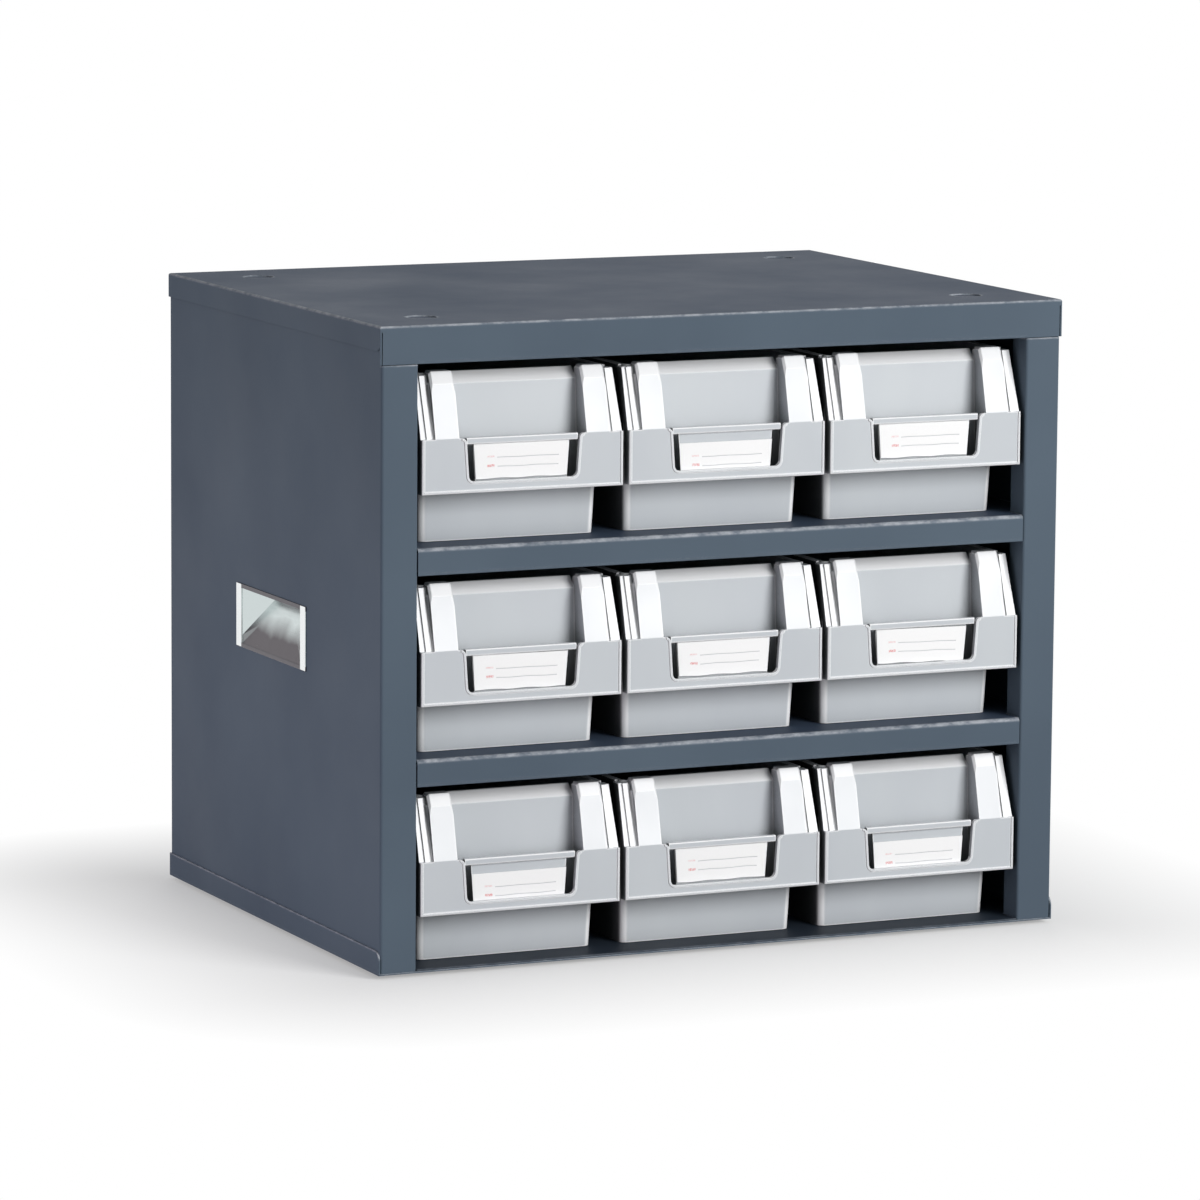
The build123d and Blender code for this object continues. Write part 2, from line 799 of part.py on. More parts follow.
# ---------------------------------------------------------------------------
# Write every piece
# ---------------------------------------------------------------------------

def main():
    """Write one file for each piece."""
    os.makedirs("parts", exist_ok=True)
    save(top_cover(), "top_cover")
    save(bottom_pan(), "bottom_pan")
    save(floor_shelf(), "floor_shelf")
    save(shelf(1), "lower_shelf")
    save(shelf(2), "upper_shelf")
    save(side_panel(-1), "left_side_panel")
    save(side_panel(1), "right_side_panel")
    save(back_panel(), "back_panel")
    save(back_rivets(), "back_rivets")
    save(placed_handle(-1), "left_handle")
    save(placed_handle(1), "right_handle")
    for name, (x, y) in stack_points().items():
        save(foot(x, y), f"foot_{name}")
    body = bin_body()
    for row in range(1, rows + 1):
        for column in range(1, columns + 1):
            place = bin_place(row, column)
            save((place * body).solid(), f"bin_r{row}c{column}")
            save((place * label_card(row, column)).solid(), f"label_r{row}c{column}")


main()
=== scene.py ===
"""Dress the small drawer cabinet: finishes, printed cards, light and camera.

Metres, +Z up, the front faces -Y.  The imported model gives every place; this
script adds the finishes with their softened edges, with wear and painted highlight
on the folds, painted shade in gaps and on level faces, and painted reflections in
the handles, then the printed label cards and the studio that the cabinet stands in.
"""
from __future__ import annotations

import logging
import math
from dataclasses import dataclass
from enum import Enum
from itertools import product

import bmesh
import bpy
from mathutils import Matrix, Vector

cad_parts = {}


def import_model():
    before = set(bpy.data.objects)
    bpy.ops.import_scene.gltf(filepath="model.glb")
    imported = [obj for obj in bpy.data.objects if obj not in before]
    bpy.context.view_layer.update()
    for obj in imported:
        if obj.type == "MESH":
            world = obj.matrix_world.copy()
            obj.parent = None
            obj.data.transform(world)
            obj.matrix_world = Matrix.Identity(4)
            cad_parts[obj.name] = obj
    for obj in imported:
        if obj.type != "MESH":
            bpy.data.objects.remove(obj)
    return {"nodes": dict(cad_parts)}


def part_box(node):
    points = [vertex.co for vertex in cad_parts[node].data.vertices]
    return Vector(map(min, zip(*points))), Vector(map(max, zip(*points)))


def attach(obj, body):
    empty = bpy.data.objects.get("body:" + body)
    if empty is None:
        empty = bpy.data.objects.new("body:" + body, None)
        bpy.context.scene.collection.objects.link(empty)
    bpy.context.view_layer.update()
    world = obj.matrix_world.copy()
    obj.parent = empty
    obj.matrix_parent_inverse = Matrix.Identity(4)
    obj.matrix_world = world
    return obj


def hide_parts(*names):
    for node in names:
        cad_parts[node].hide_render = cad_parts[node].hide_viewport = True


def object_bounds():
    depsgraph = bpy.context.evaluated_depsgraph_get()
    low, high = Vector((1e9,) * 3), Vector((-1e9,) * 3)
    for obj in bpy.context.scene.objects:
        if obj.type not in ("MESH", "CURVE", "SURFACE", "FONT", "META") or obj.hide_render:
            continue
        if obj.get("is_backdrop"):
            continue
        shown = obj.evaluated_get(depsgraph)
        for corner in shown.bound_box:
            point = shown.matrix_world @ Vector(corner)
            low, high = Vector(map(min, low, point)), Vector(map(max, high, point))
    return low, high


LOG = logging.getLogger("drawer_cabinet")

Colour = tuple[float, float, float]
Range = tuple[float, float]
Socket = bpy.types.NodeSocket

MM = 0.001
ROWS = 3
COLUMNS = 3
CELLS = tuple(product(range(1, ROWS + 1), range(1, COLUMNS + 1)))

# NIGHT is the black that painted shade darkens towards.
NIGHT: Colour = (0.0, 0.0, 0.0)
WHITE: Colour = (1.0, 1.0, 1.0)
ROSY: Colour = (1.0, 0.86, 1.0)

# Levels of a noise between which a finish changes: most of the noise, or its middle only.
MOST: Range = (0.3, 0.7)
MIDDLE: Range = (0.35, 0.65)

# Parts of a unit normal between which a mask goes from 0 to 1.
BENT: Range = (0.995, 0.945)
LEANING: Range = (0.1, 0.4)
LEVEL: Range = (0.6, 0.95)
SIDE_ON: Range = (0.8, 0.95)

# Share of open air round a point between which the mask of painted gap shade goes from 0 to 1.
SHUT_IN: Range = (0.58, 0.2)

OPEN_AIR_RAYS = 8
BEVEL_RAYS = 6


class Axis(Enum):
    """Direction in space, or the one that a streak or brush mark runs in."""

    X = 0
    Y = 1
    Z = 2


class Operation(Enum):
    """What a maths node does, with the node's own word for it."""

    ADD = "ADD"
    SUBTRACT = "SUBTRACT"
    MULTIPLY = "MULTIPLY"
    LARGER = "MAXIMUM"
    SIZE = "ABSOLUTE"


@dataclass(frozen=True)
class Pattern:
    """A cloudy noise.

    Attributes:
        scale: Clouds per metre.
        detail: Octaves of finer noise.
        roughness: Weight of the finer octaves.
        along: Axis that the clouds are drawn out along, if any.
        stretch: How much longer they are along that axis.
    """

    scale: float
    detail: float = 3.0
    roughness: float = 0.5
    along: Axis | None = None
    stretch: float = 1.0


def screen_colour(red: int, green: int, blue: int) -> Colour:
    """Turn an 8-bit screen colour into linear light.

    Args:
        red: Red from 0 to 255.
        green: Green from 0 to 255.
        blue: Blue from 0 to 255.

    Returns:
        The same colour in linear light, each part from 0 to 1.
    """

    def linear(level: int) -> float:
        """Linear value of one channel."""
        share = level / 255
        return share / 12.92 if share <= 0.04045 else ((share + 0.055) / 1.055) ** 2.4

    return linear(red), linear(green), linear(blue)


def opaque(colour: Colour) -> tuple[float, float, float, float]:
    """A colour with the fourth part that a colour socket wants."""
    return (*colour, 1.0)


class ShaderGraph:
    """One material's node tree, with a short way to place its nodes.

    Attributes:
        material: The material that is being built.
        tree: Its nodes and links.
        output: Its output node.
        shader: Its Principled shader.
        coordinates: The node that gives places on the piece.
    """

    def __init__(self, name: str) -> None:
        """Start a material with a Principled shader and an output.

        Args:
            name: Name of the material.
        """
        self.material = bpy.data.materials.new(name)
        self.material.use_nodes = True
        self.tree = self.material.node_tree
        self.tree.nodes.clear()
        self.output = self.add("ShaderNodeOutputMaterial")
        self.shader = self.add("ShaderNodeBsdfPrincipled")
        self.join(self.shader.outputs["BSDF"], self.output.inputs["Surface"])
        self.coordinates = self.add("ShaderNodeTexCoord")

    def add(self, kind: str, **settings: object) -> bpy.types.Node:
        """Add a node and set some of its properties.

        Args:
            kind: Blender's name for the kind of node.
            **settings: Properties of the node, by name.

        Returns:
            The new node.
        """
        node = self.tree.nodes.new(kind)
        for key, value in settings.items():
            setattr(node, key, value)
        return node

    def join(self, source: Socket, target: Socket) -> None:
        """Link an output to an input."""
        self.tree.links.new(source, target)

    def set(self, **values: float) -> None:
        """Set constants on the Principled shader's own sockets.

        Args:
            **values: Socket names, with underscores for spaces, and their values.
        """
        for key, value in values.items():
            name = key.replace("_", " ").title().replace("Ior", "IOR")
            self.shader.inputs[name].default_value = value

    def stretched(self, along: Axis, factor: float) -> Socket:
        """Object coordinates squeezed along one axis, so that a pattern streaks.

        Args:
            along: Axis that the streaks run in.
            factor: How much longer the pattern is along that axis.

        Returns:
            The squeezed coordinates.
        """
        mapping = self.add("ShaderNodeMapping")
        scale = [1.0, 1.0, 1.0]
        scale[along.value] = 1 / factor
        mapping.inputs["Scale"].default_value = scale
        self.join(self.coordinates.outputs["Object"], mapping.inputs["Vector"])
        return mapping.outputs["Vector"]

    def noise(self, pattern: Pattern) -> Socket:
        """Lay a cloudy noise over the piece.

        Args:
            pattern: Size and grain of the clouds.

        Returns:
            The noise from 0 to 1.
        """
        node = self.add("ShaderNodeTexNoise")
        node.inputs["Scale"].default_value = pattern.scale
        node.inputs["Detail"].default_value = pattern.detail
        node.inputs["Roughness"].default_value = pattern.roughness
        place = self.coordinates.outputs["Object"]
        if pattern.along is not None:
            place = self.stretched(pattern.along, pattern.stretch)
        self.join(place, node.inputs["Vector"])
        return node.outputs["Fac"]

    def spread(self, value: Socket, source: Range, result: Range = (0.0, 1.0)) -> Socket:
        """Map a value from one range to another, clamped.

        Args:
            value: The value to map.
            source: Start and end of its range.
            result: What these two become.

        Returns:
            The mapped value.
        """
        node = self.add("ShaderNodeMapRange")
        self.join(value, node.inputs["Value"])
        for name, level in zip(("From Min", "From Max"), source):
            node.inputs[name].default_value = level
        for name, level in zip(("To Min", "To Max"), result):
            node.inputs[name].default_value = level
        return node.outputs["Result"]

    def mix(self, share: Socket, first: Colour | Socket, second: Colour | Socket) -> Socket:
        """Blend two colours.

        Args:
            share: How much of the second colour, from 0 to 1.
            first: A colour or a socket that gives one.
            second: A colour or a socket that gives one.

        Returns:
            The blended colour.
        """
        node = self.add("ShaderNodeMix", data_type="RGBA")
        self.join(share, node.inputs["Factor"])
        for slot, colour in (("A", first), ("B", second)):
            socket = next(s for s in node.inputs if s.name == slot and s.type == "RGBA")
            if isinstance(colour, tuple):
                socket.default_value = opaque(colour)
            else:
                self.join(colour, socket)
        return next(s for s in node.outputs if s.type == "RGBA")

    def maths(
        self, operation: Operation, first: Socket, second: Socket | float | None = None
    ) -> Socket:
        """Work out one or two values.

        Args:
            operation: What is done.
            first: The first value.
            second: The second value, a socket or a constant, where the operation takes one.

        Returns:
            The result.
        """
        node = self.add("ShaderNodeMath", operation=operation.value)
        self.join(first, node.inputs[0])
        if isinstance(second, float):
            node.inputs[1].default_value = second
        elif second is not None:
            self.join(second, node.inputs[1])
        return node.outputs[0]

    def times(self, first: Socket, second: Socket | float) -> Socket:
        """One value times another."""
        return self.maths(Operation.MULTIPLY, first, second)

    def larger(self, first: Socket, second: Socket | float) -> Socket:
        """The larger of two values."""
        return self.maths(Operation.LARGER, first, second)

    def size(self, value: Socket) -> Socket:
        """A value without its sign."""
        return self.maths(Operation.SIZE, value)

    def within(self, value: Socket, middle: float, reach: float) -> Socket:
        """1 where a value is close to a middle, 0 elsewhere.

        Args:
            value: The value.
            middle: What it is compared with.
            reach: How far it may be from that.

        Returns:
            The mask.
        """
        node = self.add("ShaderNodeMath", operation="COMPARE")
        self.join(value, node.inputs[0])
        node.inputs[1].default_value = middle
        node.inputs[2].default_value = reach
        return node.outputs[0]

    def vector_maths(
        self, operation: Operation, first: Socket, second: Vector | None = None
    ) -> Socket:
        """Work out a vector part by part.

        Args:
            operation: What is done.
            first: The first vector.
            second: The second vector, where the operation takes one.

        Returns:
            The resulting vector.
        """
        node = self.add("ShaderNodeVectorMath", operation=operation.value)
        self.join(first, node.inputs[0])
        if second is not None:
            node.inputs[1].default_value = second
        return node.outputs["Vector"]

    def parts(self, vector: Socket) -> dict[Axis, Socket]:
        """Split a vector.

        Args:
            vector: The vector.

        Returns:
            Its part along each axis.
        """
        split = self.add("ShaderNodeSeparateXYZ")
        self.join(vector, split.inputs[0])
        return {axis: split.outputs[axis.name] for axis in Axis}

    def facing(self, axis: Axis) -> Socket:
        """Part of the surface's normal that runs along an axis.

        Args:
            axis: The axis.

        Returns:
            That part, from -1 to 1.
        """
        geometry = self.add("ShaderNodeNewGeometry")
        return self.parts(geometry.outputs["Normal"])[axis]

    def rounded(self, radius: float) -> Socket:
        """Normal that runs smoothly round sharp edges.

        Args:
            radius: Radius of the rounding in metres.

        Returns:
            The normal.
        """
        node = self.add("ShaderNodeBevel", samples=BEVEL_RAYS)
        node.inputs["Radius"].default_value = radius
        return node.outputs["Normal"]

    def folds(self, reach: float) -> Socket:
        """Where a surface turns: 0 on faces that lie along an axis, 1 well into a bend.

        Args:
            reach: How far from an edge the mask starts, in metres.

        Returns:
            The mask.
        """
        turned = self.parts(self.vector_maths(Operation.SIZE, self.rounded(reach)))
        largest = self.larger(self.larger(turned[Axis.X], turned[Axis.Y]), turned[Axis.Z])
        return self.spread(largest, BENT)

    def leaning_up(self, reach: float) -> Socket:
        """1 on bends and faces that look at least partly up, 0 on the others.

        Args:
            reach: How far from an edge a bend starts, in metres.

        Returns:
            The mask.
        """
        return self.spread(self.parts(self.rounded(reach))[Axis.Z], LEANING)

    def facing_up(self) -> Socket:
        """1 on faces that look straight up, 0 on upright ones."""
        return self.spread(self.facing(Axis.Z), LEVEL)

    def facing_sideways(self) -> Socket:
        """1 on faces that look left or right, 0 on the others."""
        return self.spread(self.size(self.facing(Axis.X)), SIDE_ON)

    def gap_shade(self, reach: float) -> Socket:
        """Mask of painted shade: 1 deep in narrow gaps between pieces, 0 in the open.

        Args:
            reach: Width of the widest gap that counts, in metres.

        Returns:
            The mask.
        """
        open_air = self.add("ShaderNodeAmbientOcclusion", samples=OPEN_AIR_RAYS)
        open_air.inputs["Distance"].default_value = reach
        return self.spread(open_air.outputs["AO"], SHUT_IN)

    def bump(
        self, height: Socket, depth: float, strength: float = 1.0, over: Socket | None = None
    ) -> Socket:
        """Turn a height into a surface normal.

        Args:
            height: Height from 0 to 1.
            depth: Real height in metres that 1 stands for.
            strength: Share of the effect.
            over: A normal that this bump lies on.

        Returns:
            The bumped normal.
        """
        node = self.add("ShaderNodeBump")
        node.inputs["Distance"].default_value = depth
        node.inputs["Strength"].default_value = strength
        self.join(height, node.inputs["Height"])
        if over is not None:
            self.join(over, node.inputs["Normal"])
        return node.outputs["Normal"]

    def finish(
        self, colour: Socket, roughness: Socket | None = None, normal: Socket | None = None
    ) -> bpy.types.Material:
        """Join the last results to the shader.

        Args:
            colour: Base colour.
            roughness: Roughness, or None to keep the constant.
            normal: Surface normal, or None to keep the flat one.

        Returns:
            The finished material.
        """
        for value, name in ((colour, "Base Color"), (roughness, "Roughness"), (normal, "Normal")):
            if value is not None:
                self.join(value, self.shader.inputs[name])
        return self.material


@dataclass(frozen=True)
class PowderCoat:
    """Slate blue-grey powder coat on folded steel, lighter along its upward folds as wear and
    painted highlight.

    Attributes:
        name: Name of the material.
        colour: The clean coat.
        patch: The coat in its darker clouds.
        dust_and_shade: The coat darkened on level faces, as painted shade.
        worn_and_highlit: The folds' colour, lighter as wear and painted highlight.
        clouds: Clouds of the two coat colours.
        gap_dark: Share of light that the deepest gaps lose.
        gap_reach: Width of the widest gap that darkens.
        wear_and_highlight_reach: How far the wear and painted highlight reach from a fold.
        scuffs: Breaks in the worn folds.
        scuffed: Levels of the scuffs between which the wear and painted highlight grow.
        wear_and_highlight_levels: Share of the worn and highlit colour at these levels.
        handling: Clouds of duller coat.
        dullness: Roughness of the clean and of the handled coat.
        edge_radius: Radius that sharp edges are softened by.
        peel: Waves of the coat's orange peel.
        peel_depth: How deep they are.
        grain: The coat's fine grain.
        grain_depth: How deep it is.
    """

    name: str = "slate_powder_coat"
    colour: Colour = screen_colour(89, 103, 116)
    patch: Colour = screen_colour(83, 96, 109)
    dust_and_shade: Colour = screen_colour(60, 72, 89)
    worn_and_highlit: Colour = screen_colour(174, 179, 186)
    clouds: Pattern = Pattern(5.0, 4.0)
    gap_dark: float = 0.7
    gap_reach: float = 12 * MM
    wear_and_highlight_reach: float = 2.4 * MM
    scuffs: Pattern = Pattern(140.0, 6.0, 0.75, Axis.X, 1.6)
    scuffed: Range = (0.38, 0.6)
    wear_and_highlight_levels: Range = (0.25, 1.0)
    handling: Pattern = Pattern(9.0, 5.0, 0.6)
    dullness: Range = (0.5, 0.62)
    edge_radius: float = 0.5 * MM
    peel: Pattern = Pattern(420.0, 2.0)
    peel_depth: float = 0.04 * MM
    grain: Pattern = Pattern(1900.0, 2.0)
    grain_depth: float = 0.01 * MM

    def wear_and_highlight(self, graph: ShaderGraph) -> Socket:
        """Share of wear and painted highlight: scuffed folds that look at least partly up.

        Args:
            graph: The coat's node tree.

        Returns:
            The share.
        """
        folds = graph.times(graph.folds(self.wear_and_highlight_reach), graph.leaning_up(self.wear_and_highlight_reach))
        return graph.times(folds, graph.spread(graph.noise(self.scuffs), self.scuffed, self.wear_and_highlight_levels))

    def material(self) -> bpy.types.Material:
        """Build the coat: cloudy colour, painted shade on level faces and in gaps, orange peel, and
        folds lightened as wear and painted highlight.

        Returns:
            The material.
        """
        graph = ShaderGraph(self.name)
        graph.set(specular_ior_level=0.1)
        patchy = graph.spread(graph.noise(self.clouds), MIDDLE)
        body = graph.mix(patchy, self.colour, self.patch)
        # Painted shade: level faces darker than upright ones.
        body = graph.mix(graph.facing_up(), body, self.dust_and_shade)
        # Painted shade: darker towards black in narrow gaps between pieces.
        body = graph.mix(graph.times(graph.gap_shade(self.gap_reach), self.gap_dark), body, NIGHT)
        # Upward folds lighter, as wear and painted highlight.
        colour = graph.mix(self.wear_and_highlight(graph), body, self.worn_and_highlit)
        roughness = graph.spread(graph.noise(self.handling), MOST, self.dullness)
        soft = graph.rounded(self.edge_radius)
        peel = graph.bump(graph.noise(self.peel), self.peel_depth, over=soft)
        normal = graph.bump(graph.noise(self.grain), self.grain_depth, over=peel)
        return graph.finish(colour, roughness, normal)


@dataclass(frozen=True)
class MouldedPlastic:
    """Pale grey moulded polypropylene with a satin skin, painted highlights along its edges and
    painted shade in gaps.

    Attributes:
        name: Name of the material.
        colour: The plastic.
        shade: The plastic in its flow marks.
        edge: Painted highlight along its edges.
        flow: Flow marks, upright as the plastic ran.
        edge_highlight_share: Share of the painted edge highlight.
        edge_reach: How far from an edge the painted highlight starts.
        gap_dark: Share of light that the deepest narrow gaps lose.
        gap_reach: Width of the widest such gap.
        bay_dark: Share of light that the side walls lose deep between two bins.
        bay_reach: Width of the widest space that counts as between bins.
        sheen: Clouds of duller skin.
        dullness: Roughness of the glossiest and of the dullest skin.
        edge_radius: Radius that sharp edges are softened by.
        grain: The mould's spark-eroded grain.
        grain_depth: How deep it is.
    """

    name: str = "pale_bin_plastic"
    colour: Colour = screen_colour(201, 206, 210)
    shade: Colour = screen_colour(196, 201, 206)
    edge: Colour = screen_colour(250, 251, 252)
    flow: Pattern = Pattern(14.0, 3.0, 0.5, Axis.Z, 3.0)
    edge_highlight_share: float = 0.95
    edge_reach: float = 1.6 * MM
    gap_dark: float = 0.7
    gap_reach: float = 22 * MM
    bay_dark: float = 0.92
    bay_reach: float = 70 * MM
    sheen: Pattern = Pattern(30.0, 4.0)
    dullness: Range = (0.3, 0.38)
    edge_radius: float = 0.35 * MM
    grain: Pattern = Pattern(1500.0, 2.0)
    grain_depth: float = 0.01 * MM

    def shadiness(self, graph: ShaderGraph) -> Socket:
        """Share of light lost in narrow gaps and on the walls between bins.

        Args:
            graph: The plastic's node tree.

        Returns:
            The share, 0 on whatever leans up.
        """
        narrow = graph.times(graph.gap_shade(self.gap_reach), self.gap_dark)
        walls = graph.times(graph.gap_shade(self.bay_reach), graph.facing_sideways())
        shady = graph.larger(narrow, graph.times(walls, self.bay_dark))
        upright = graph.maths(Operation.SUBTRACT, shady, graph.leaning_up(self.edge_reach))
        return graph.larger(upright, 0.0)

    def material(self) -> bpy.types.Material:
        """Build the plastic: faint flow marks, spark-eroded grain, painted edge highlights and
        painted shade.

        Returns:
            The material.
        """
        graph = ShaderGraph(self.name)
        graph.set(specular_ior_level=0.5)
        marked = graph.spread(graph.noise(self.flow), MIDDLE)
        body = graph.mix(marked, self.colour, self.shade)
        # Painted highlight: edges lighter.
        edges = graph.times(graph.folds(self.edge_reach), self.edge_highlight_share)
        colour = graph.mix(edges, body, self.edge)
        # Painted shade: darker towards black in narrow gaps and on the side walls between bins.
        colour = graph.mix(self.shadiness(graph), colour, NIGHT)
        roughness = graph.spread(graph.noise(self.sheen), MOST, self.dullness)
        soft = graph.rounded(self.edge_radius)
        normal = graph.bump(graph.noise(self.grain), self.grain_depth, over=soft)
        return graph.finish(colour, roughness, normal)


@dataclass(frozen=True)
class PlatedSteel:
    """Bright plated steel of the carrying handles, with painted reflections: bright on the end bars,
    dark on the rims and lower cup.

    Attributes:
        low: Height of the handles' lower edge, in metres.
        high: Height of their upper edge.
        panel: Distance from the middle to the outer face of a side panel.
        name: Name of the material.
        colour: The plating where its painted reflection is bright: the upper part and ends of the
            cup.
        bar: Painted bright reflection on the end bars.
        dark_reflection: Painted dark reflection on the lower part of the cup.
        rim: Painted dark reflection on the rims above and below the cup.
        brightening: Shares of the height between which the painted reflection in the cup turns from
            dark to bright.
        end_facets: Parts of the normal along Y between which a facet counts as the cup's end.
        dents: Shallow dents.
        dent_depth: How deep they are.
        dent_strength: Share of their effect.
        waver: How far they move the edge of the dark painted reflection up and down.
        rim_height: How tall each rim is.
        rim_blend: How softly it starts.
        bar_proud: How far the end bars stand out of the panel.
        bar_blend: How softly they start.
        wiping: Wiping marks along the handle.
        dullness: Roughness from the clearest to the dullest of them.
        edge_radius: Radius that sharp edges are softened by.
    """

    low: float
    high: float
    panel: float
    name: str = "bright_plate"
    colour: Colour = screen_colour(206, 215, 215)
    bar: Colour = screen_colour(236, 239, 240)
    dark_reflection: Colour = screen_colour(80, 75, 80)
    rim: Colour = screen_colour(77, 73, 79)
    brightening: Range = (0.3, 0.62)
    end_facets: Range = (0.2, 0.35)
    dents: Pattern = Pattern(38.0, 2.0)
    dent_depth: float = 0.3 * MM
    dent_strength: float = 0.5
    waver: float = 2.5 * MM
    rim_height: float = 3.4 * MM
    rim_blend: float = 0.4 * MM
    bar_proud: float = 0.95 * MM
    bar_blend: float = 0.1 * MM
    wiping: Pattern = Pattern(900.0, 3.0, 0.6, Axis.Y, 30.0)
    dullness: Range = (0.16, 0.28)
    edge_radius: float = 0.4 * MM

    def bright_share(self, graph: ShaderGraph, height: Socket, dents: Socket) -> Socket:
        """Share of bright painted reflection in the cup: dark low down, bright above and on its two
        ends.

        Args:
            graph: The plating's node tree.
            height: Height of the place.
            dents: The dents, from 0 to 1.

        Returns:
            The share of bright painted reflection.
        """
        tall = self.high - self.low
        start, end = (self.low + share * tall for share in self.brightening)
        moved = graph.spread(dents, MOST, (-self.waver, self.waver))
        upper = graph.spread(graph.maths(Operation.ADD, height, moved), (start, end))
        ends = graph.spread(graph.size(graph.facing(Axis.Y)), self.end_facets)
        return graph.larger(upper, ends)

    def rim_share(self, graph: ShaderGraph, height: Socket) -> Socket:
        """Where the upper and lower rims are, which get a dark painted reflection.

        Args:
            graph: The plating's node tree.
            height: Height of the place.

        Returns:
            The share of rim.
        """
        middle = (self.low + self.high) / 2
        edge = (self.high - self.low) / 2 - self.rim_height
        offset = graph.size(graph.maths(Operation.SUBTRACT, height, middle))
        return graph.spread(offset, (edge, edge + self.rim_blend))

    def bar_share(self, graph: ShaderGraph, across: Socket) -> Socket:
        """Where the end bars are, by how far they stand out; they get a bright painted reflection.

        Args:
            graph: The plating's node tree.
            across: The place from left to right.

        Returns:
            The share of bar.
        """
        proud = self.panel + self.bar_proud
        return graph.spread(graph.size(across), (proud - self.bar_blend, proud))

    def material(self) -> bpy.types.Material:
        """Build the plating: wiping marks, painted reflections, dark on the lower half and rims and
        bright on the bars and ends, and softly dented reflections.

        Returns:
            The material.
        """
        graph = ShaderGraph(self.name)
        graph.set(metallic=1.0)
        place = graph.parts(graph.coordinates.outputs["Object"])
        dents = graph.noise(self.dents)
        bright = self.bright_share(graph, place[Axis.Z], dents)
        # Painted reflection: dark on the lower cup, bright above and on the ends.
        colour = graph.mix(bright, self.dark_reflection, self.colour)
        # Painted dark reflection on the rims.
        colour = graph.mix(self.rim_share(graph, place[Axis.Z]), colour, self.rim)
        # Painted bright reflection on the end bars.
        colour = graph.mix(self.bar_share(graph, place[Axis.X]), colour, self.bar)
        roughness = graph.spread(graph.noise(self.wiping), MOST, self.dullness)
        soft = graph.rounded(self.edge_radius)
        normal = graph.bump(dents, self.dent_depth, self.dent_strength, over=soft)
        return graph.finish(colour, roughness, normal)


@dataclass(frozen=True)
class RivetAlloy:
    """Satin aluminium of the blind rivets.

    Attributes:
        name: Name of the material.
        colour: The clean alloy.
        dull: The alloy under its bloom.
        bloom: Clouds of bloom.
        bloom_depth: How far the bloom stands up.
        scratches: Fine scratches.
        dullness: Roughness between the scratches and on them.
    """

    name: str = "rivet_alloy"
    colour: Colour = screen_colour(196, 198, 200)
    dull: Colour = screen_colour(168, 170, 173)
    bloom: Pattern = Pattern(400.0, 3.0)
    bloom_depth: float = 0.04 * MM
    scratches: Pattern = Pattern(1500.0, 3.0)
    dullness: Range = (0.28, 0.42)

    def material(self) -> bpy.types.Material:
        """Build the alloy with fine scratches and a dull bloom.

        Returns:
            The material.
        """
        graph = ShaderGraph(self.name)
        graph.set(metallic=1.0)
        bloom = graph.noise(self.bloom)
        colour = graph.mix(bloom, self.colour, self.dull)
        roughness = graph.spread(graph.noise(self.scratches), MOST, self.dullness)
        return graph.finish(colour, roughness, graph.bump(bloom, self.bloom_depth))


@dataclass(frozen=True)
class FootRubber:
    """Matt black rubber of the feet, with a dusty bloom.

    Attributes:
        name: Name of the material.
        colour: The rubber.
        dust: The dust on it.
        bloom: Clouds of dust.
        dusted: Levels of the clouds between which the dust grows.
        dust_share: Share of dust at these levels.
        dullness: Roughness of the rubber and of the dust.
        grain: The moulded grain.
        grain_depth: How deep it is.
    """

    name: str = "foot_rubber"
    colour: Colour = screen_colour(34, 34, 36)
    dust: Colour = screen_colour(66, 66, 67)
    bloom: Pattern = Pattern(150.0, 5.0, 0.6)
    dusted: Range = (0.4, 0.75)
    dust_share: Range = (0.0, 0.6)
    dullness: Range = (0.7, 0.88)
    grain: Pattern = Pattern(2200.0)
    grain_depth: float = 0.03 * MM

    def material(self) -> bpy.types.Material:
        """Build the rubber with a dusty bloom and a fine moulded grain.

        Returns:
            The material.
        """
        graph = ShaderGraph(self.name)
        graph.set(specular_ior_level=0.3)
        bloom = graph.noise(self.bloom)
        dust_and_shade = graph.spread(bloom, self.dusted, self.dust_share)
        colour = graph.mix(dust_and_shade, self.colour, self.dust)
        roughness = graph.spread(bloom, MOST, self.dullness)
        return graph.finish(colour, roughness, graph.bump(graph.noise(self.grain), self.grain_depth))


@dataclass(frozen=True)
class PrintMark:
    """A printed rule or dash on a card, in shares of the card's width and height.

    Attributes:
        ends: Left and right end.
        height: Middle of the mark above the card's lower edge.
        thickness: How tall the mark is.
        ink: Its colour.
        strength: How dark it prints.
        broken: Whether it breaks up like a row of characters.
    """

    ends: Range
    height: float
    thickness: float
    ink: Colour
    strength: float
    broken: bool = False


